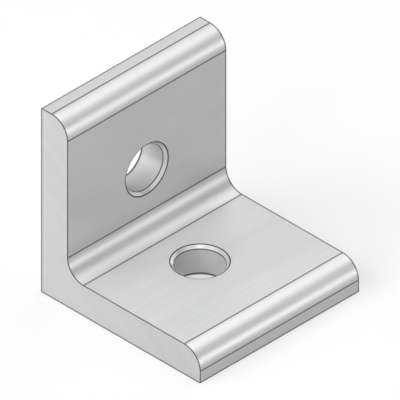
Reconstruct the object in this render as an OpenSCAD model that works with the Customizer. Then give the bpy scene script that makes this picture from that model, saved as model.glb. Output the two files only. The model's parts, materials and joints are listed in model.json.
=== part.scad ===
// Corner bracket for slotted aluminium framing.
// It is a short length of extruded L section with one bolt hole in each leg.
// The base leg lies along X, the upright leg stands along Z at the heel, and
// the section was extruded along Y. Two framing bars meet on the outer faces,
// and the bolt heads sit on the inner faces.
// The origin is the middle of the underside of the base leg.

/* [Legs] */
// Length of the base leg, from the heel to the tip of its toe
leg_length = 30; // [24:1:60]
// Height of the upright leg, from the heel to the tip of its toe
leg_height = 30; // [24:1:60]
// Width of the bracket, as sawn from the extruded bar
width = 30; // [16:1:60]
// Thickness of both legs
thickness = 5; // [4:0.5:6]

/* [Rounding] */
// Radius of the rounded inner edge at the toe of each leg
toe_radius = 3; // [1:0.5:3]
// Radius of the fillet in the inside corner
inner_radius = 3; // [1:0.5:3]

/* [Bolt holes] */
// Diameter of the clearance hole for the bolt
hole_diameter = 7; // [4:0.5:8]
// Size of the 45 degree chamfer round both mouths of a hole
hole_chamfer = 0.5; // [0.2:0.1:0.8]
// Distance from the heel to the axis of each hole
hole_from_heel = 15; // [14:0.5:16]

/* [Hidden] */
$fn = 96;
// How far a cutter reaches past the face that it cuts
overcut = 1;
hole_radius = hole_diameter / 2;
// Place of the heel, so that the base leg is centred on the origin
heel_x = -leg_length / 2;

// Outline of one leg from the heel to the toe, seen along the extrusion.
// The leg lies on the first axis, and its inner face is at the top.
module leg_outline(length) {
    difference() {
        square([length, thickness]);
        translate([length - toe_radius, thickness - toe_radius])
            rounded_corner_waste(toe_radius);
    }
}

// What a round cutter leaves outside a quarter circle: a square with
// the circle taken out, open towards the first and second axes.
module rounded_corner_waste(radius) {
    difference() {
        square(radius + overcut);
        circle(radius);
    }
}

// The fillet that fills the inside corner up to a quarter circle.
module fillet_outline(radius) {
    difference() {
        square(radius);
        translate([radius, radius])
            circle(radius);
    }
}

// The whole L section: the base leg, the same leg turned upright
// by a reflection that swaps the two axes, and the fillet between them.
module section_outline() {
    leg_outline(leg_length);
    mirror([1, -1, 0])
        leg_outline(leg_height);
    translate([thickness, thickness])
        fillet_outline(inner_radius);
}

// The section carried along Y, from one sawn end to the other.
module extruded_bar() {
    translate([heel_x, width / 2, 0])
        rotate([90, 0, 0])
            linear_extrude(width)
                section_outline();
}

// The drill and both countersinks as one turned shape. It stands on
// the outer face of a leg, and its axis is the axis of the hole.
module hole_cutter() {
    wide = hole_radius + hole_chamfer + overcut;
    rotate_extrude()
        polygon([
            [0, -overcut],
            [wide, -overcut],
            [hole_radius, hole_chamfer],
            [hole_radius, thickness - hole_chamfer],
            [wide, thickness + overcut],
            [0, thickness + overcut]
        ]);
}

module bracket() {
    color("silver")
        difference() {
            extruded_bar();
            // Hole through the base leg
            translate([heel_x + hole_from_heel, 0, 0])
                hole_cutter();
            // Hole through the upright leg
            translate([heel_x, 0, hole_from_heel])
                rotate([0, 90, 0])
                    hole_cutter();
        }
}

bracket();
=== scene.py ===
# %% [markdown]
# # A corner bracket for slotted framing
#
# The bracket is one piece of aluminium: a bar with an L section is pressed through a die, sawn into
# short lengths, drilled once in each leg and anodised. This file dresses the plain solid of that part.
# It builds the same shape again with finely rounded edges, gives each kind of surface the finish that
# its making leaves, and sets it in a small white studio.
#
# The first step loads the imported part. Everything else is placed from what it says, in metres.

# %% Load the part
import json
import math

import bpy
import numpy as np
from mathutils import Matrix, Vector


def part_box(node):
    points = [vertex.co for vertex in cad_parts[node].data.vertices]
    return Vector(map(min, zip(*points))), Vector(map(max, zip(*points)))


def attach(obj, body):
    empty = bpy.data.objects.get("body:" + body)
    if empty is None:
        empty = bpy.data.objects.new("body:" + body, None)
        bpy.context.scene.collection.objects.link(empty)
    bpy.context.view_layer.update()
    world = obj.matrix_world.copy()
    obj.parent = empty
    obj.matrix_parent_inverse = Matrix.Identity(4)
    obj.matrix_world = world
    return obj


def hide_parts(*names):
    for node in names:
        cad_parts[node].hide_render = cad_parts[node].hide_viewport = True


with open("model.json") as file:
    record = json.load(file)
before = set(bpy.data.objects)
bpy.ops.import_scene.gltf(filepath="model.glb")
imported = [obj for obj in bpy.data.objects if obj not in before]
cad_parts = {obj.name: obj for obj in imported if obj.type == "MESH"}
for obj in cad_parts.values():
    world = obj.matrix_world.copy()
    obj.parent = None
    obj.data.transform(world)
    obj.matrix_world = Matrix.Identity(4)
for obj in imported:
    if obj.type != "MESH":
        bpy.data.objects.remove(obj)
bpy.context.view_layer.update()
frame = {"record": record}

MM = 0.001
low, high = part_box("bracket")
print("the part is", [round((b - a) / MM, 3) for a, b in zip(low, high)], "mm")

# %% [markdown]
# ## Sizes
#
# The record of the part lists where a bolt goes through and what its head rests on. The thickness of a
# leg, the bore and its chamfer can be read from those entries, so the dressed part can't drift away
# from the solid one. Only the two large radii and the fine rounding of the edges are stated here. A
# break is the radius of such a rounding: at the outer corners of the L, at the sawn ends, at the mouths
# of the holes, and at the ridge where a chamfer meets the bore.

# %% Sizes of the part
mounts = {mount["name"]: mount for mount in frame["record"]["mounts"]}
thickness = mounts["base_bolt_seat"]["pos_m"][2] - low.z
bore_radius = mounts["base_hole"]["dims"]["r_mm"] * MM
chamfer = (thickness - mounts["base_hole"]["dims"]["length_mm"] * MM) / 2
hole_from_heel = mounts["base_hole"]["pos_m"][0] - low.x
mouth_radius = bore_radius + chamfer
toe_radius = 3 * MM
fillet_radius = 3 * MM
corner_break = 0.12 * MM
end_break = 0.06 * MM
mouth_break = 0.2 * MM
ridge_break = 0.1 * MM
for name, size in (("thickness", thickness), ("bore radius", bore_radius), ("chamfer", chamfer)):
    print(name, round(size / MM, 3), "mm")

# %% [markdown]
# ## Lines and arcs of an outline
#
# Two small functions draw every outline in this file. Each returns points and the outward normal at
# each point. The outline is walked with the metal on its left, so the normal is always the direction
# of travel turned a quarter turn to the right. An arc that bends left rounds an outer edge, and one
# that bends right fills an inner corner, with the same formula.


# %% Straight runs and rounded corners
def straight_run(start, end, stations):
    """Points on the line from start to end, at the given shares of its length, and their normals."""
    start, end = np.asarray(start, float), np.asarray(end, float)
    along = (end - start) / np.linalg.norm(end - start)
    points = start + np.outer(stations, end - start)
    return points, np.tile([along[1], -along[0]], (len(points), 1))


def rounded_corner(before, corner, after, radius, steps):
    """The arc that is tangent to both sides of a corner.

    It starts radius times the tangent of half the turn before the corner. The normal turns evenly from
    that of the first side to that of the second, and each point is the centre plus the radius times
    the normal, or minus it where the outline bends to the right.
    """
    before, corner, after = (np.asarray(point, float) for point in (before, corner, after))
    first = (corner - before) / np.linalg.norm(corner - before)
    second = (after - corner) / np.linalg.norm(after - corner)
    turn = np.arctan2(first[0] * second[1] - first[1] * second[0], first @ second)
    start = corner - first * radius * np.tan(abs(turn) / 2)
    centre = start - np.sign(turn) * radius * np.array([first[1], -first[0]])
    angle = np.arctan2(-first[0], first[1]) + turn * np.linspace(0, 1, steps + 1)
    normals = np.column_stack([np.cos(angle), np.sin(angle)])
    return centre + np.sign(turn) * radius * normals, normals


sample_arc = rounded_corner((0, 0), (1, 0), (1, 1), radius=0.5, steps=2)[0]
print("a corner at (1, 0) with a radius of 0.5 goes through", sample_arc.round(3).tolist())

# %% [markdown]
# ## The L section
#
# The section is walked from the end of the base toe, over the inner faces, across the top of the
# upright and back along the outer faces. Inner and outer side get the same number of points, because
# the sawn end is filled later by joining them in pairs. Across the thickness, the points crowd towards
# both faces. The stretch that holds a hole is marked: the skin leaves it open there.

# %% Walk round the section
ROUND_STEPS = 24
BREAK_STEPS = 6
HOLE_STEPS = 40
toe_x, heel_x, foot_z, top_z = high.x, low.x, low.z, high.z
inner_x, inner_z = heel_x + thickness, foot_z + thickness
hole_run = (thickness + fillet_radius, toe_x - heel_x - toe_radius)
across = np.array([0, 0.03, 0.1, 0.28, 0.5, 0.72, 0.9, 0.97, 1])
hole_stations = np.linspace(0, 1, HOLE_STEPS + 1)
heel_stations = np.linspace(0, 1, (ROUND_STEPS - BREAK_STEPS) // 2 + 1)
toe_stations = np.linspace(0, 1, ROUND_STEPS - BREAK_STEPS + 1)

heel, toe, crest = (heel_x, foot_z), (toe_x, foot_z), (heel_x, top_z)
toe_shoulder, crest_shoulder, elbow = (toe_x, inner_z), (inner_x, top_z), (inner_x, inner_z)
hole_near, hole_far = heel_x + hole_run[0], heel_x + hole_run[1]
hole_low, hole_high = foot_z + hole_run[0], foot_z + hole_run[1]
section = [
    ("end", *straight_run((toe_x, foot_z + corner_break), (toe_x, inner_z - toe_radius), across)),
    ("inner", *rounded_corner(toe, toe_shoulder, elbow, toe_radius, ROUND_STEPS)),
    ("inner hole", *straight_run((hole_far, inner_z), (hole_near, inner_z), hole_stations)),
    ("inner", *rounded_corner(toe_shoulder, elbow, crest_shoulder, fillet_radius, ROUND_STEPS)),
    ("inner hole", *straight_run((inner_x, hole_low), (inner_x, hole_high), hole_stations)),
    ("inner", *rounded_corner(elbow, crest_shoulder, crest, toe_radius, ROUND_STEPS)),
    ("end", *straight_run((inner_x - toe_radius, top_z), (heel_x + corner_break, top_z), across)),
    ("outer edge", *rounded_corner(crest_shoulder, crest, heel, corner_break, BREAK_STEPS)),
    ("outer", *straight_run((heel_x, top_z - corner_break), (heel_x, hole_high), toe_stations)),
    ("outer hole", *straight_run((heel_x, hole_high), (heel_x, hole_low), hole_stations)),
    ("outer", *straight_run((heel_x, hole_low), (heel_x, foot_z + corner_break), heel_stations)),
    ("outer edge", *rounded_corner(crest, heel, toe, corner_break, BREAK_STEPS)),
    ("outer", *straight_run((heel_x + corner_break, foot_z), (hole_near, foot_z), heel_stations)),
    ("outer hole", *straight_run((hole_near, foot_z), (hole_far, foot_z), hole_stations)),
    ("outer", *straight_run((hole_far, foot_z), (toe_x - corner_break, foot_z), toe_stations)),
    ("outer edge", *rounded_corner(heel, toe, toe_shoulder, corner_break, BREAK_STEPS)),
]


def side_of_section(kind):
    """All points and normals of one side of the section, in walking order and without repeats."""
    runs = [run for run in section if run[0].startswith(kind)]
    points = np.concatenate([run[1][:-1] for run in runs] + [runs[-1][1][-1:]])
    normals = np.concatenate([run[2][:-1] for run in runs] + [runs[-1][2][-1:]])
    return points, normals


inner_side, outer_side = side_of_section("inner"), side_of_section("outer")
print("points on the inner and outer side:", len(inner_side[0]), len(outer_side[0]))

# %% [markdown]
# ## Patches
#
# The surface is made of patches. A patch is a grid of points with a normal at each, worked out as
# whole arrays. Neighbouring patches share the same points along their common edge, so that the shell
# can be welded afterwards without gaps.

# %% Collect patches
patches = []
SKIN, SAWN, BORED, EDGE = 0, 1, 2, 3
half_width = (high.y - low.y) / 2
y_stations = np.linspace(-half_width + end_break, half_width - end_break, HOLE_STEPS + 1)


def add_patch(points, normals, finish):
    """Keeps one grid of points and normals, both rows by columns by 3, with the number of its finish."""
    patches.append((points, np.broadcast_to(normals, points.shape), finish))


def in_space(outline, y):
    """Points or directions of the section's plane, with their y beside them."""
    flat, y = np.broadcast_arrays(outline[..., 0], y)
    return np.stack([flat, y, np.broadcast_to(outline[..., 1], flat.shape)], axis=-1)


print(len(y_stations), "stations along Y, up to", round(y_stations[-1] / MM, 3), "mm either way")

# %% [markdown]
# ### The extruded skin
#
# The die gives the bar the same section all along its length, so the skin is the outline carried
# along Y: the first parameter walks round the section and the second goes from one end to the other.

# %% Carry the section along the bar
for kind, points, normals in section:
    if not kind.endswith("hole"):
        skin = in_space(points[:, None], y_stations[None, :])
        finish = EDGE if kind.endswith("edge") else SKIN
        add_patch(skin, in_space(normals[:, None], np.zeros((1, 1))), finish)
print(len(patches), "strips of skin")

# %% [markdown]
# ### The sawn ends
#
# A saw leaves a square edge that is broken by a few strokes of a file or by tumbling. Here the edge is
# a quarter round: at the angle b, a point is the outline moved in by the break, then out again by the
# break times the cosine of b along its normal and times the sine of b along Y. What is left of the end
# is flat. Each point of the inner side is joined to its partner on the outer side by a straight line.

# %% Round the end edges and close the ends
quarter = np.linspace(0, np.pi / 2, BREAK_STEPS)
for way in (-1, 1):
    for kind, points, normals in section:
        core = in_space(points - end_break * normals, np.array(way * (half_width - end_break)))
        sideways = in_space(normals, np.zeros(1))
        lean = np.cos(quarter)[:, None, None] * sideways + np.sin(quarter)[:, None, None] * [0, way, 0]
        add_patch(core + end_break * lean, lean, EDGE)
    inset_inner = inner_side[0] - end_break * inner_side[1]
    inset_outer = (outer_side[0] - end_break * outer_side[1])[::-1]
    joined = across[:, None, None] * inset_inner + (1 - across)[:, None, None] * inset_outer
    add_patch(in_space(joined, np.array(way * half_width)), np.array([0.0, way, 0.0]), SAWN)
print("both ends closed, with a break of", round(end_break / MM, 3), "mm")

# %% [markdown]
# ### Faces with a hole
#
# The flat face round a hole goes from a circle to a rectangle. Both are walked in the same number of
# steps, starting at the same corner, and each grid line is the straight line between two partners. Its
# points crowd towards the circle, where the face meets the chamfer.
#
# At the mouth the outline turns by 45 degrees, from the face into the chamfer. A rounding begins its
# radius times the tangent of half the turn before the corner, and that is where the face ends.

# %% From a circle to a rectangle
ROUND_THE_HOLE = 4 * HOLE_STEPS
FIRST_CORNER_DEGREES = -135
MOUTH_TURN = np.pi / 4
FACE_RINGS = 15
CROWDING = 1.6
turn = np.radians(FIRST_CORNER_DEGREES + 360 / ROUND_THE_HOLE * np.arange(ROUND_THE_HOLE + 1))
circle = np.column_stack([np.cos(turn), np.sin(turn)])
along_leg = np.linspace(*hole_run, HOLE_STEPS + 1) - hole_from_heel
y_low, y_high = y_stations[0], y_stations[-1]
rectangle = np.concatenate([
    np.column_stack([along_leg[:-1], np.full(HOLE_STEPS, y_low)]),
    np.column_stack([np.full(HOLE_STEPS, along_leg[-1]), y_stations[:-1]]),
    np.column_stack([along_leg[:0:-1], np.full(HOLE_STEPS, y_high)]),
    np.column_stack([np.full(HOLE_STEPS, along_leg[0]), y_stations[:0:-1]]),
    [[along_leg[0], y_low]],
])
face_edge = mouth_radius + mouth_break * np.tan(MOUTH_TURN / 2)
outwards = np.linspace(0, 1, FACE_RINGS)[:, None, None] ** CROWDING
print("a face ends", round(face_edge / MM, 3), "mm from the axis of its hole")

# %% [markdown]
# ### The turned holes
#
# The hole itself is turned: its outline is a polyline in radius and height with rounded corners, and
# it is carried round the axis of the drill. It goes from the inner face down one chamfer, through the
# bore and down the other chamfer to the outer face.

# %% Outline of a hole
MOUTH_STEPS = 4
WALL_STEPS = (3, 10, 3)
# Any radius beyond the mouth will do here, because it only says which way the flat face goes.
on_the_face = 2 * mouth_radius
hole_corners = [
    (on_the_face, thickness),
    (mouth_radius, thickness),
    (bore_radius, thickness - chamfer),
    (bore_radius, chamfer),
    (mouth_radius, 0),
    (on_the_face, 0),
]
hole_breaks = (mouth_break, ridge_break, ridge_break, mouth_break)
arcs = [
    rounded_corner(*hole_corners[i : i + 3], hole_break, MOUTH_STEPS)
    for i, hole_break in enumerate(hole_breaks)
]
hole_outline = [(EDGE, *arcs[0])]
for before, after, steps in zip(arcs[:-1], arcs[1:], WALL_STEPS):
    wall_run = straight_run(before[0][-1], after[0][0], np.linspace(0, 1, steps + 1))
    hole_outline += [(BORED, *wall_run), (EDGE, *after)]
print("a hole has", len(hole_outline), "bands from face to face")

# %% [markdown]
# ### Both legs drilled
#
# One function adds a hole and both faces round it. It is called once for each leg, with the directions
# of that leg, so the two holes are alike.


# %% Drill both legs
def drill_leg(foot, leg, up):
    """Adds both faces round one hole, and the hole.

    foot is where the axis meets the outer face, leg the direction from heel to toe, and up the
    direction from the outer face to the inner one. A point of the turned outline is foot, plus its
    radius in the direction of its turn, plus its height along up.
    """
    foot, leg, up, y = (np.asarray(vector, float) for vector in (foot, leg, up, (0, 1, 0)))
    plane = np.stack([leg, y])
    ring = (1 - outwards) * face_edge * circle + outwards * rectangle
    add_patch(foot + ring @ plane, -up, SKIN)
    add_patch(foot + thickness * up + ring @ plane, up, SKIN)
    spokes = circle @ plane
    for finish, points, normals in hole_outline:
        wall = foot + points[:, None, :1] * spokes + points[:, None, 1:] * up
        add_patch(wall, normals[:, None, :1] * spokes + normals[:, None, 1:] * up, finish)


drill_leg((heel_x + hole_from_heel, 0, foot_z), (1, 0, 0), (0, 0, 1))
drill_leg((heel_x, 0, foot_z + hole_from_heel), (0, 0, 1), (1, 0, 0))
print(len(patches), "patches in all")

# %% [markdown]
# ## Weld the shell
#
# Points of different patches that fall on the same spot become one. All quads of a patch are turned
# over if they look inwards, which their own normals tell.


# %% Weld the patches into one mesh
def grid_faces(rows, columns, first):
    """The four corners of each cell of a grid whose points are numbered row by row from first."""
    corner = first + np.arange(rows - 1)[:, None] * columns + np.arange(columns - 1)
    return np.stack([corner, corner + 1, corner + columns + 1, corner + columns], axis=-1).reshape(-1, 4)


def facing_out(faces, points, normals):
    """The same faces, walked the other way if the first way round looks against the normals."""
    diagonals = points[faces[:, 2]] - points[faces[:, 0]], points[faces[:, 3]] - points[faces[:, 1]]
    looks = np.cross(*diagonals)
    return faces if np.sum(looks * normals[faces[:, 0]]) > 0 else faces[:, ::-1]


WELD_GRID = 1e-7
all_points = np.concatenate([points.reshape(-1, 3) for points, _, _ in patches])
all_normals = np.concatenate([normals.reshape(-1, 3) for _, normals, _ in patches])
faces, finishes, first = [], [], 0
for points, _, finish in patches:
    rows, columns = points.shape[:2]
    faces.append(facing_out(grid_faces(rows, columns, first), all_points, all_normals))
    finishes.append(np.full(len(faces[-1]), finish))
    first += rows * columns
_, kept, welded = np.unique(
    np.round(all_points / WELD_GRID).astype(np.int64), axis=0, return_index=True, return_inverse=True
)
shell_points, shell_normals = all_points[kept], all_normals[kept]
shell_faces, shell_finish = welded.reshape(-1)[np.concatenate(faces)], np.concatenate(finishes)
print(len(shell_points), "points and", len(shell_faces), "faces")
print("box from", shell_points.min(0), "to", shell_points.max(0))

# %% [markdown]
# ## Test the shell
#
# In a closed shell each edge belongs to two faces, and the volume has to be that of the solid, less what
# the fine roundings take away. Each triangle spans a tetrahedron with the origin. Its volume is a sixth
# of the triple product of its corners, and over the whole shell these add up to the volume inside.

# %% Count open edges and measure the volume
edges = np.stack([shell_faces, np.roll(shell_faces, -1, axis=1)], axis=-1).reshape(-1, 2)
used = np.unique(np.sort(edges, axis=1), axis=0, return_counts=True)[1]
corners = shell_points[shell_faces]
volume = sum(
    np.einsum("ij,ij->", corners[:, 0], np.cross(corners[:, i], corners[:, i + 1])) / 6 for i in (1, 2)
)
print(int(np.sum(used != 2)), "open edges, volume", round(volume / MM**3, 2), "cubic mm")

# %% [markdown]
# ## The dressed part
#
# The shell becomes one mesh, whose object sits at the origin, unturned, as the solid's does. It is
# shaded smooth with the exact normals of its patches: flat faces stay flat, and a narrow rounding
# catches the light as a wide one would. It rides on the only body and hides the plain solid.

# %% Make the mesh
mesh = bpy.data.meshes.new("bracket_shell")
mesh.from_pydata(shell_points, [], shell_faces.tolist())
mesh.polygons.foreach_set("material_index", shell_finish.astype(np.int32))
mesh.polygons.foreach_set("use_smooth", np.ones(len(shell_faces), bool))
mesh.update()
mesh.normals_split_custom_set_from_vertices(shell_normals)
bracket = bpy.data.objects.new("bracket_shell", mesh)
bpy.context.scene.collection.objects.link(bracket)
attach(bracket, "root")
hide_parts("bracket")
print(bracket.name, "has", len(mesh.polygons), "faces and replaces the node bracket")

# %% [markdown]
# ## Shader maths
#
# A finish is a formula of the place on the part: how pale, how rough and how high the metal is there.
# Blender keeps such a formula as a graph of nodes, which is slow to wire by hand and hard to read. The
# class below wraps one output of a node. Adding or multiplying two of them adds the Math node that does
# it, so a formula can be read as one. Every other node comes from `node`, which takes its type, its
# settings and what goes into its sockets.


# %% A wire with arithmetic
class Wire:
    """One output of a node in a material, or the empty start of a new graph."""

    def __init__(self, tree, socket=None):
        self.tree, self.socket = tree, socket

    def node(self, kind, settings=(), sockets=(), output=0):
        """Adds a node of this kind, sets its settings, then fills its sockets with values or wires."""
        made = self.tree.nodes.new(kind)
        for name, value in dict(settings).items():
            setattr(made, name, value)
        for name, value in dict(sockets).items():
            if isinstance(value, Wire):
                self.tree.links.new(value.socket, made.inputs[name])
            else:
                made.inputs[name].default_value = value
        return Wire(self.tree, made.outputs[output])

    def output(self, name):
        """Another output of the same node."""
        return Wire(self.tree, self.socket.node.outputs[name])

    def math(self, operation, *values):
        """A Math node on wires or numbers."""
        return self.node("ShaderNodeMath", {"operation": operation}, dict(enumerate(values)))

    def __add__(self, other):
        return self.math("ADD", self, other)

    def __sub__(self, other):
        return self.math("SUBTRACT", self, other)

    def __rsub__(self, other):
        return self.math("SUBTRACT", other, self)

    def __mul__(self, other):
        return self.math("MULTIPLY", self, other)

    __radd__ = __add__
    __rmul__ = __mul__

    def __abs__(self):
        return self.math("ABSOLUTE", self)


# %% [markdown]
# ### Places and patterns
#
# Every pattern is worked out from Object coordinates. The object sits at the origin, so these are the
# part's own metres, and the pattern stays on the metal however the part is turned or lit. They are
# turned into millimetres first, so that the scale of a pattern can be given as changes per millimetre.


# %% Places, noise, rows and soft steps
NOISE_MIDDLE = 0.5


def place_in_mm(graph):
    """The place on the part in millimetres, as one vector and as its x, y and z."""
    place = graph.node("ShaderNodeTexCoord", output="Object")
    in_mm = graph.node("ShaderNodeVectorMath", {"operation": "SCALE"}, {0: place, "Scale": 1 / MM})
    x = graph.node("ShaderNodeSeparateXYZ", sockets={0: in_mm}, output="X")
    return in_mm, x, x.output("Y"), x.output("Z")


def noise(place, per_mm, stretch=(1, 1, 1), detail=2.0):
    """Smooth noise about zero, mostly within a quarter either way, on axes multiplied by stretch."""
    stretched = place.node("ShaderNodeVectorMath", {"operation": "MULTIPLY"}, {0: place, 1: stretch})
    sockets = {"Vector": stretched, "Scale": per_mm, "Detail": detail}
    return place.node("ShaderNodeTexNoise", (), sockets) - NOISE_MIDDLE


def uneven_rows(distance, per_mm, detail=2.0):
    """The same noise along one distance only, which makes uneven rows across it."""
    sockets = {"W": distance, "Scale": per_mm, "Detail": detail}
    return distance.node("ShaderNodeTexNoise", {"noise_dimensions": "1D"}, sockets) - NOISE_MIDDLE


def soft_step(value, low, high):
    """0 below low, 1 above high, and a smooth rise between."""
    sockets = {"Value": value, "From Min": low, "From Max": high}
    return value.node("ShaderNodeMapRange", {"interpolation_type": "SMOOTHSTEP"}, sockets)


def distance_to(place, point):
    """How far a place is from a point, in millimetres."""
    sockets = {0: place, 1: point}
    return place.node("ShaderNodeVectorMath", {"operation": "DISTANCE"}, sockets, output="Value")


def smaller(first, second):
    """The smaller of two values."""
    return first.math("MINIMUM", first, second)


def larger(first, second):
    """The larger of two values."""
    return first.math("MAXIMUM", first, second)


# %% [markdown]
# ### What all the finishes share
#
# The part is anodised after it is cut and drilled, so every surface wears the same thin layer of clear
# oxide. The layer is finely porous: it scatters part of the light, and the metal under it reflects the
# rest. A Metallic between 0 and 1 stands for that mixture. It is the same all over a finish, so it is
# set on the shader's own socket. What varies is fed by wires: how pale the metal is, how rough, and a
# height that a Bump node turns into a tilt of the surface. One Mix node makes a colour of the paleness.
# A Mix node has a set of sockets for each kind of data, and the numbers here are those for colours.

# %% Start and close a finish
METAL_SHARE = 0.45
SILVER = (0.992, 0.996, 1.0, 1)
BLACK = (0, 0, 0, 1)
MIX_SHARE, MIX_FIRST, MIX_SECOND, MIX_RESULT = 0, 6, 7, 2


def mixed_colour(share, first, second):
    """The first colour where the share is 0, the second where it is 1."""
    sockets = {MIX_SHARE: share, MIX_FIRST: first, MIX_SECOND: second}
    return share.node("ShaderNodeMix", {"data_type": "RGBA"}, sockets, output=MIX_RESULT)


def start_finish(name, metal_share):
    """A new material on the shell, its shader, and the empty wire that its graph starts from."""
    material = bpy.data.materials.new(name)
    material.use_nodes = True
    mesh.materials.append(material)
    shader = material.node_tree.nodes["Principled BSDF"]
    shader.inputs["Metallic"].default_value = metal_share
    return shader, Wire(material.node_tree)


def close_finish(shader, paleness, roughness, height, height_mm):
    """Feeds the shader its colour and roughness, and a bump on which a height of 1 is height_mm."""
    colour = mixed_colour(paleness, BLACK, SILVER)
    sockets = {"Height": height, "Distance": height_mm * MM, "Strength": 1.0}
    bump = height.node("ShaderNodeBump", (), sockets)
    for name, wire in (("Base Color", colour), ("Roughness", roughness), ("Normal", bump)):
        wire.tree.links.new(wire.socket, shader.inputs[name])
    print("nodes in the", mesh.materials[-1].name, "finish:", len(shader.id_data.nodes))


# %% [markdown]
# ### Thin lines
#
# The etching bath bites a little deeper along every broken edge, which leaves a thin dull line on the
# faces beside it. A witness line looks the same but has another cause: where a flat runs into a
# rounding, two polished facets of the die meet, and the metal that flows over the joint keeps a mark.
# Where the saw or the drill comes out of the metal there is more of a burr to break, so the line is
# wider there: at the +Y end, beside the outer sides of both ends, and at the far end of each bore.
# Both legs are alike. So a place is folded into one leg first, by its distance along it (the larger of
# the distances from the heel and from the foot) and through it (the smaller), and each line is then
# placed once. The holes are alike too: what is near one axis is far from the other.

# %% Lines beside edges and roundings
WITNESS_MM = 0.19
EDGE_LINE_MM = 0.15
CORNER_LINE_MM = 0.225
MOUTH_LINE_MM = 0.075
RIDGE_LINE_MM = 0.03
EXIT_LINE_MM = 0.32
LINE_SHADE = 0.92
heel_mm, foot_mm = heel_x / MM, foot_z / MM
leg_mm, wall_mm = (toe_x - heel_x) / MM, thickness / MM
half_width_mm, chamfer_mm = half_width / MM, chamfer / MM
end_break_mm, ridge_break_mm = end_break / MM, ridge_break / MM
facet_joints = (
    (leg_mm - toe_radius / MM, wall_mm, 0),
    (leg_mm, wall_mm - toe_radius / MM, 0),
    (wall_mm + fillet_radius / MM, wall_mm, 0),
)
outer_corners = ((0, 0, 0), (leg_mm, 0, 0))
elbow_spot = (wall_mm, wall_mm, 0)
hole_axes = ((hole_from_heel / MM, 0, 0),)


def flat_place(x, y):
    """A place in a plane, from two distances."""
    return x.node("ShaderNodeCombineXYZ", (), {"X": x, "Y": y})


def line_beside(distance, edge, width):
    """1 at a distance up to edge, fading to 0 over the width beyond it."""
    return 1 - soft_step(distance, edge, edge + width)


def lines_round(place, spots, edge, width):
    """The same line round each of some spots, where the nearest of them counts."""
    nearest = distance_to(place, spots[0])
    for spot in spots[1:]:
        nearest = smaller(nearest, distance_to(place, spot))
    return line_beside(nearest, edge, width)


print("lines along", len(facet_joints), "facet joints and", len(outer_corners), "outer corners of a leg")

# %% [markdown]
# ### Evenly grey legs, by painted light and shade
#
# The photograph shows both legs evenly grey, although satin metal mirrors what stands beside it. The
# base mirrors the darker upright near the -Y end, and lies in its shade behind the hole. The upright
# mirrors white paper near the +Y end and the pale base at its foot. So painted light makes the metal
# paler in the first two places, and painted shade makes it darker in the other two, in the fillet, which
# gathers light from both legs, and at the toe ends. Each place has an amount of painted paleness, and a
# stretch in millimetres: where its soft step begins and ends, or how far its core reaches and how wide
# the fade beyond it is.

# %% Even out the legs with painted light and shade
FLAT_STARTS_MM = (wall_mm + 1, wall_mm + 3)
FLAT_ENDS_MM = (leg_mm - 3, leg_mm - 1)
PAINTED_LIGHT_NEAR_UPRIGHT, PAINTED_LIGHT_NEAR_UPRIGHT_MM = 0.16, (-28, 26)
MIRROR_SLANT = 1.5
PAINTED_LIGHT_IN_SHADE, SHADE_ALONG_MM, SHADE_ACROSS_MM = 0.13, (8, 8), (2, 12)
SHADE_MIDDLE_MM = 3
PAINTED_SHADE_OVER_PAPER, PAINTED_SHADE_OVER_PAPER_MM = 0.085, (6, leg_mm)
PAINTED_SHADE_AT_FOOT, PAINTED_SHADE_AT_FOOT_MM = 0.08, (8, 3)
PAINTED_SHADE_IN_FILLET, PAINTED_SHADE_IN_FILLET_MM = 0.10, (1.3, 1.5)
PAINTED_SHADE_AT_TOES, PAINTED_SHADE_AT_TOES_MM = 0.06, (leg_mm - 0.3, leg_mm)


def flat_of_leg(along_leg):
    """1 on the flat of a leg, at this distance along it, and 0 in the corner and at the toe."""
    return soft_step(along_leg, *FLAT_STARTS_MM) * (1 - soft_step(along_leg, *FLAT_ENDS_MM))


def painted_light_and_shade(from_heel, from_foot, in_section, y):
    """Painted light where a leg looks too dark, less painted shade where it looks too pale."""
    on_base, on_upright = flat_of_leg(from_heel), flat_of_leg(from_foot)
    towards_corner = half_width_mm - y - MIRROR_SLANT * from_heel
    painted_light_near_upright = on_base * soft_step(towards_corner, *PAINTED_LIGHT_NEAR_UPRIGHT_MM)
    from_middle = abs(y - SHADE_MIDDLE_MM)
    shade = line_beside(from_heel, *SHADE_ALONG_MM) * line_beside(from_middle, *SHADE_ACROSS_MM)
    painted_shade_over_paper = on_upright * soft_step(from_foot + y, *PAINTED_SHADE_OVER_PAPER_MM)
    painted_shade_at_foot = on_upright * line_beside(from_foot, *PAINTED_SHADE_AT_FOOT_MM)
    # The middle of the fillet and the toe ends get painted shade.
    elbow = line_beside(distance_to(in_section, elbow_spot), *PAINTED_SHADE_IN_FILLET_MM)
    painted_shade_at_toes = soft_step(larger(from_heel, from_foot), *PAINTED_SHADE_AT_TOES_MM)
    # paler is painted light, and both darker sums are painted shade.
    paler = PAINTED_LIGHT_NEAR_UPRIGHT * painted_light_near_upright + PAINTED_LIGHT_IN_SHADE * on_base * shade
    darker_flats = PAINTED_SHADE_OVER_PAPER * painted_shade_over_paper + PAINTED_SHADE_AT_FOOT * painted_shade_at_foot
    darker_bends = PAINTED_SHADE_IN_FILLET * elbow + PAINTED_SHADE_AT_TOES * painted_shade_at_toes
    return paler - darker_flats - darker_bends


print("paler by", PAINTED_LIGHT_NEAR_UPRIGHT, PAINTED_LIGHT_IN_SHADE, "and darker by", PAINTED_SHADE_OVER_PAPER, PAINTED_SHADE_AT_FOOT, PAINTED_SHADE_IN_FILLET, PAINTED_SHADE_AT_TOES)

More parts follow.
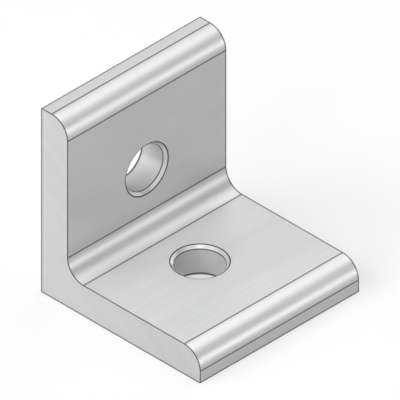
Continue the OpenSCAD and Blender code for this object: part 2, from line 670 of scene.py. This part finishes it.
# %% [markdown]
# ### Finish of the extruded skin
#
# The die drags fine lines along the bar, so the noise is squeezed to almost nothing along Y: it changes
# fast across the section and hardly at all along the length. Beside the lines there is a slow drift in
# tone and the fine grain of the etching bath. Handling rubs the metal brighter close to the cut ends.
#
# One formula gives the paleness and one the roughness. Each begins with the tone under all the patterns,
# and the amount of a pattern stands before it. The finishes below are written in the same way.

# %% Finish of the skin
SKIN_PALE, SKIN_ROUGH = 0.645, 0.42
DIE_LINES_PER_MM, DIE_LINES_STRETCH = 3.5, (1, 0.004, 1)
DRIFT_PER_MM, DRIFT_STRETCH = 0.35, (1, 0.15, 1)
ETCH_PER_MM, ETCH_HEIGHT = 20.0, 0.3
RUB_MM = 0.8
RUB_UNEVEN_MM, RUB_UNEVEN_PER_MM = 2.0, 1.5
DIE_LINE_DEPTH_MM = 0.003


def skin_lines(from_heel, from_foot, in_section, y):
    """The dull lines at the sawn ends, facet joints, outer corners and mouths of the holes."""
    line = line_beside(half_width_mm - abs(y), end_break_mm, EDGE_LINE_MM)
    line = larger(line, line_beside(half_width_mm - y, end_break_mm, EXIT_LINE_MM))
    line = larger(line, lines_round(in_section, facet_joints, 0, WITNESS_MM))
    line = larger(line, lines_round(in_section, outer_corners, corner_break / MM, CORNER_LINE_MM))
    for along_leg in (from_heel, from_foot):
        mouth = lines_round(flat_place(along_leg, y), hole_axes, face_edge / MM, MOUTH_LINE_MM)
        line = larger(line, mouth)
    return line


def skin_finish():
    """Die lines along Y, etched grain, dull lines beside edges and roundings, brighter cut ends."""
    shader, graph = start_finish("skin", METAL_SHARE)
    place, x, y, z = place_in_mm(graph)
    from_heel, from_foot = x - heel_mm, z - foot_mm
    in_section = flat_place(larger(from_heel, from_foot), smaller(from_heel, from_foot))

    die_lines = noise(place, DIE_LINES_PER_MM, DIE_LINES_STRETCH, detail=3.0)
    drift = noise(place, DRIFT_PER_MM, DRIFT_STRETCH)
    etch = noise(place, ETCH_PER_MM)
    from_end = half_width_mm - abs(y) + RUB_UNEVEN_MM * noise(place, RUB_UNEVEN_PER_MM)
    rubbed = 1 - soft_step(from_end, 0.0, RUB_MM)
    line = skin_lines(from_heel, from_foot, in_section, y)
    # evened is the painted light and painted shade that even out the grey of the legs.
    evened = painted_light_and_shade(from_heel, from_foot, in_section, y)

    pale = SKIN_PALE + 0.09 * die_lines + 0.07 * drift + 0.03 * rubbed + evened
    roughness = SKIN_ROUGH + 0.10 * die_lines + 0.08 * drift - 0.04 * rubbed
    height = die_lines + ETCH_HEIGHT * etch
    close_finish(shader, pale * (1 - LINE_SHADE * line), roughness, height, DIE_LINE_DEPTH_MM)


skin_finish()

# %% [markdown]
# ### Finish of the sawn ends
#
# A circular saw leaves arcs of its own radius. The rows of this finish follow the distance from the
# middle of a blade of 300 mm, which stands below and behind the heel. A second, slower set is the
# unevenness of the feed. The photograph shows the end a little darker towards the toe of the base, so
# painted shade makes the metal darker that way.

# %% Finish of the sawn ends
SAWN_PALE, SAWN_ROUGH = 0.605, 0.45
BLADE_RADIUS_MM = 150
BLADE_BEHIND, BLADE_BELOW = 0.6, 0.8
STROKES_PER_MM, FEED_PER_MM = 3.0, 0.4
SAWN_ETCH_PER_MM = 16.0
SAW_MARK_DEPTH_MM = 0.003
blade_x, blade_z = heel_mm - BLADE_BEHIND * BLADE_RADIUS_MM, foot_mm - BLADE_BELOW * BLADE_RADIUS_MM


def sawn_finish():
    """Arcs of a saw blade with an uneven feed, etched grain, a dull line by the outer sides, painted
    shade.
    """
    shader, graph = start_finish("sawn", METAL_SHARE)
    place, x, _, z = place_in_mm(graph)
    from_heel, from_foot = x - heel_mm, z - foot_mm
    from_blade = distance_to(flat_place(x, z), (blade_x, blade_z, 0))
    strokes = uneven_rows(from_blade, STROKES_PER_MM, detail=3.0)
    feed = uneven_rows(from_blade, FEED_PER_MM)
    etch = noise(place, SAWN_ETCH_PER_MM)
    line = line_beside(smaller(from_heel, from_foot), end_break_mm, EXIT_LINE_MM)
    painted_shade_towards_toe = soft_step(from_heel, 0, leg_mm)

    # The last term of pale is painted shade, darker towards the toe of the base.
    pale = SAWN_PALE + 0.08 * strokes + 0.06 * feed - 0.05 * painted_shade_towards_toe
    roughness = SAWN_ROUGH + 0.10 * strokes
    height = strokes + ETCH_HEIGHT * etch
    close_finish(shader, pale * (1 - LINE_SHADE * line), roughness, height, SAW_MARK_DEPTH_MM)


sawn_finish()

# %% [markdown]
# ### Finish of the drilled and countersunk holes
#
# The drill and the countersink turn round the axis of the hole, so their marks are rings. A ring is
# where the depth along the axis is the same. The upright's hole runs along X and the other one along Z,
# and a mask that is 1 in the upright picks the right one of the two. The countersink cuts last and
# lightly. It leaves the palest and smoothest metal, with fainter rings, and a dull line lies beside the
# ridge where it meets the bore.

# %% Finish of the holes
BORED_PALE, BORED_ROUGH = 0.66, 0.46
RINGS_PER_MM, CHATTER_PER_MM = 6.0, 1.2
RINGS_FADE = 0.6
RING_DEPTH_MM = 0.002
COUNTERSINK_STARTS_MM = (0.0, 0.1)
CLEAR_OF_UPRIGHT_MM = 1


def bored_finish():
    """Turned rings along the depth of either hole, palest in the chamfers, dark beside the ridges."""
    shader, graph = start_finish("bored", METAL_SHARE)
    place, x, _, z = place_in_mm(graph)
    in_upright = x.math("LESS_THAN", x, heel_mm + wall_mm + CLEAR_OF_UPRIGHT_MM)
    depth = in_upright * (x - heel_mm) + (1 - in_upright) * (z - foot_mm)
    from_ridge = abs(depth - wall_mm / 2) - (wall_mm / 2 - chamfer_mm)
    countersunk = soft_step(from_ridge, *COUNTERSINK_STARTS_MM)
    near_line = line_beside(abs(from_ridge), ridge_break_mm / 2, RIDGE_LINE_MM)
    exit_line = line_beside(abs(depth - chamfer_mm), ridge_break_mm / 2, EXIT_LINE_MM)
    line = larger(near_line, exit_line)
    rings = uneven_rows(depth, RINGS_PER_MM, detail=3.0) * (1 - RINGS_FADE * countersunk)
    chatter = noise(place, CHATTER_PER_MM)

    pale = BORED_PALE + 0.07 * countersunk + 0.10 * rings + 0.05 * chatter
    roughness = BORED_ROUGH - 0.18 * countersunk + 0.12 * rings
    close_finish(shader, pale * (1 - LINE_SHADE * line), roughness, rings, RING_DEPTH_MM)


bored_finish()

# %% [markdown]
# ### Finish of the broken edges
#
# Tumbling takes the sharp edge off every corner and leaves it finely pitted. The pits hold the etch
# longer, so a broken edge comes out of the bath dull and dark, with no gloss at all, and draws a thin
# line round the faces. The specular level is the same everywhere, so it is set on the shader itself.

# %% Finish of the edges
EDGE_PALE, EDGE_ROUGH = 0.09, 0.6
PITS_PER_MM, WEAR_PER_MM = 8.0, 0.5
PIT_DEPTH_MM = 0.003


def edge_finish():
    """Dull pitted metal, unevenly dark along the edge."""
    shader, graph = start_finish("edge", metal_share=0.0)
    shader.inputs["Specular IOR Level"].default_value = 0.0
    place = place_in_mm(graph)[0]
    pits, worn = noise(place, PITS_PER_MM), noise(place, WEAR_PER_MM)

    pale = EDGE_PALE + 0.05 * worn + 0.04 * pits
    roughness = EDGE_ROUGH + 0.2 * pits
    close_finish(shader, pale, roughness, pits, PIT_DEPTH_MM)


edge_finish()

# %% [markdown]
# ## The studio
#
# ### White surroundings
#
# The part stands on white paper in a white room. If the lamps alone made all that white, they would be
# so strong that the pale metal clips. So the paper is a mid grey that the lamps light, and takes the
# shadow of the part, and the rest of its white is a glow. Light Path tells what kind of ray looks at it:
# the glow is there for the camera and for what the metal mirrors, but it lights nothing.

# %% Paper floor
FLOOR_REACH = 4.0
FLOOR_GAP = 0.02 * MM
PAPER_GREY = (0.4, 0.4, 0.4, 1)
PAPER_GLOW = 0.6
WHITE = (1, 1, 1, 1)


def looked_at(graph):
    """1 for rays from the camera and for mirrored and refracted ones, 0 for what lights things."""
    camera_ray = graph.node("ShaderNodeLightPath", output="Is Camera Ray")
    return camera_ray + camera_ray.output("Is Glossy Ray") + camera_ray.output("Is Transmission Ray")


def paper_floor():
    """A square sheet just under the part, dark enough for a shadow, with a glow that lights nothing."""
    square = FLOOR_REACH * np.array([(-1, -1), (1, -1), (1, 1), (-1, 1)])
    sheet = bpy.data.meshes.new("floor")
    sheet.from_pydata(np.column_stack([square, np.full(4, low.z - FLOOR_GAP)]), [], [(0, 1, 2, 3)])
    floor = bpy.data.objects.new("floor", sheet)
    bpy.context.scene.collection.objects.link(floor)

    paper = bpy.data.materials.new("paper")
    paper.use_nodes = True
    sheet.materials.append(paper)
    shader = paper.node_tree.nodes["Principled BSDF"]
    shader.inputs["Base Color"].default_value = PAPER_GREY
    shader.inputs["Specular IOR Level"].default_value = 0.0
    shader.inputs["Emission Strength"].default_value = PAPER_GLOW
    seen = looked_at(Wire(paper.node_tree))
    glow = mixed_colour(seen, BLACK, WHITE)
    paper.node_tree.links.new(glow.socket, shader.inputs["Emission Color"])
    return floor


print(paper_floor().name, "reaches", FLOOR_REACH, "m either way")

# %% [markdown]
# The world is white in the same way. It has a strength of 1 for the camera and for what the metal
# mirrors, and is dimmer for the light that it gives, which leaves room for the lamps.

# %% White world
WORLD_LIGHT = 0.16


def white_world():
    """A white world for whoever looks at it, and WORLD_LIGHT as bright for what it lights."""
    world = bpy.data.worlds.new("studio")
    world.use_nodes = True
    background = world.node_tree.nodes["Background"]
    background.inputs["Color"].default_value = WHITE
    strength = WORLD_LIGHT + (1 - WORLD_LIGHT) * looked_at(Wire(world.node_tree))
    world.node_tree.links.new(strength.socket, background.inputs["Strength"])
    bpy.context.scene.world = world
    return world


print("the world of the", white_world().name, "lights with a strength of", WORLD_LIGHT)

# %% [markdown]
# ### Lamps
#
# A rounded edge of satin metal works like a convex mirror: it gathers the whole studio into a narrow
# strip, and each lamp becomes a bright band along it. The photograph shows two bands on each rounding,
# with a trough between, so it needs one lamp high up beside the part and a low, wide one in front of
# the toes. A large lamp on the side of the sawn end and a weak one opposite set the tones of the flat
# faces. A polarising film on a lamp keeps it out of what the metal mirrors, and these two are such
# lamps, so that no face clips to white from another side. Three small ones put the glints on the
# chamfers and in the upright's bore.
#
# Brightness is given so that 1 is white paper. The power of a lamp follows from it: pi times its area
# times its brightness.

# %% Soft boxes
LAMP_DISTANCE = 1.6
centre = (low + high) / 2


def towards(azimuth, elevation):
    """The direction at an angle round from +X towards +Y, and an angle up, both in degrees."""
    flat, up = math.radians(azimuth), math.radians(elevation)
    return Vector((math.cos(flat) * math.cos(up), math.sin(flat) * math.cos(up), math.sin(up)))


def softbox(name, azimuth, elevation, wide, tall, brightness, mirrored=True):
    """A flat lamp that faces the middle of the part.

    The camera never sees it, and mirrored rays see it only if mirrored is true.
    """
    light = bpy.data.lights.new(name, "AREA")
    light.shape = "RECTANGLE"
    light.size, light.size_y = wide, tall
    light.energy = math.pi * wide * tall * brightness
    lamp = bpy.data.objects.new(name, light)
    way = towards(azimuth, elevation)
    lamp.location = centre + LAMP_DISTANCE * way
    lamp.rotation_euler = way.to_track_quat("Z", "Y").to_euler()
    lamp.visible_camera = False
    lamp.visible_glossy = mirrored
    bpy.context.scene.collection.objects.link(lamp)
    print(f"{name}: {light.energy:.2f} W")


softbox("high_band", azimuth=90, elevation=58, wide=1.4, tall=1.4, brightness=1.25)
softbox("low_band", azimuth=30, elevation=6, wide=0.8, tall=0.36, brightness=4.7)
softbox("sawn_side", azimuth=256, elevation=34, wide=2.0, tall=1.2, brightness=4.2, mirrored=False)
softbox("opposite", azimuth=100, elevation=18, wide=1.28, tall=0.9, brightness=1.25, mirrored=False)
softbox("countersinks", azimuth=315, elevation=54, wide=0.4, tall=0.4, brightness=2.0)
softbox("bores", azimuth=234, elevation=8, wide=0.5, tall=0.3, brightness=3.0)
softbox("rim", azimuth=100, elevation=4, wide=0.5, tall=0.2, brightness=4.0)

# %% [markdown]
# ### A card
#
# The trough between the bands is deeper than a white room makes it. Product photographers hang a card
# there, and so does this cell: a grey one between the two lamps, which only shows in what the metal
# mirrors.

# %% Card between the lamps
CARD_DISTANCE = 1.0


def mirrored_card(name, azimuth, elevation, wide, tall, grey):
    """A dull card that faces the middle of the part, and that only mirrored rays see."""
    way = towards(azimuth, elevation)
    turned = np.array(way.to_track_quat("Z", "Y").to_matrix())
    flat = np.array([(-wide, -tall, 0), (wide, -tall, 0), (wide, tall, 0), (-wide, tall, 0)]) / 2
    sheet = bpy.data.meshes.new(name)
    sheet.from_pydata(np.array(centre + CARD_DISTANCE * way) + flat @ turned.T, [], [(0, 1, 2, 3)])
    card = bpy.data.objects.new(name, sheet)
    bpy.context.scene.collection.objects.link(card)
    card.visible_camera = card.visible_diffuse = card.visible_shadow = False
    felt = bpy.data.materials.new(name)
    felt.use_nodes = True
    shader = felt.node_tree.nodes["Principled BSDF"]
    shader.inputs["Base Color"].default_value = (grey, grey, grey, 1)
    shader.inputs["Specular IOR Level"].default_value = 0.0
    sheet.materials.append(felt)
    print(f"{name}: {CARD_DISTANCE} m away")


mirrored_card("trough_card", azimuth=45, elevation=35, wide=0.64, tall=0.44, grey=0.35)

# %% [markdown]
# ## The camera
#
# The photograph is a true isometric view: the three edges that meet at a corner are equally long in it.
# That fixes the direction, halfway between the front and the side and as high as the diagonal of a
# cube, and it calls for an orthographic camera. The only measure left is how wide the frame is. The view
# shortens an edge along any axis by the cosine of the elevation, and an outer edge of the part is 183.78
# pixels long in a frame of 400. The middle of the part's box is the middle of the frame.

# %% Isometric camera
EDGE_PIXELS = 183.78
FRAME_PIXELS = 400
CAMERA_DISTANCE = 0.3
CAMERA_AZIMUTH = -45
elevation = math.atan(1 / math.sqrt(2))
view_from = towards(CAMERA_AZIMUTH, math.degrees(elevation))
camera = bpy.data.objects.new("camera", bpy.data.cameras.new("camera"))
bpy.context.scene.collection.objects.link(camera)
camera.data.type = "ORTHO"
camera.data.ortho_scale = (high.x - low.x) * math.cos(elevation) * FRAME_PIXELS / EDGE_PIXELS
camera.data.clip_start = MM
camera.location = centre + CAMERA_DISTANCE * view_from
camera.rotation_euler = (-view_from).to_track_quat("-Z", "Y").to_euler()
bpy.context.scene.camera = camera
bpy.context.scene.view_settings.view_transform = "Standard"
print("the frame is", round(camera.data.ortho_scale / MM, 2), "mm wide")
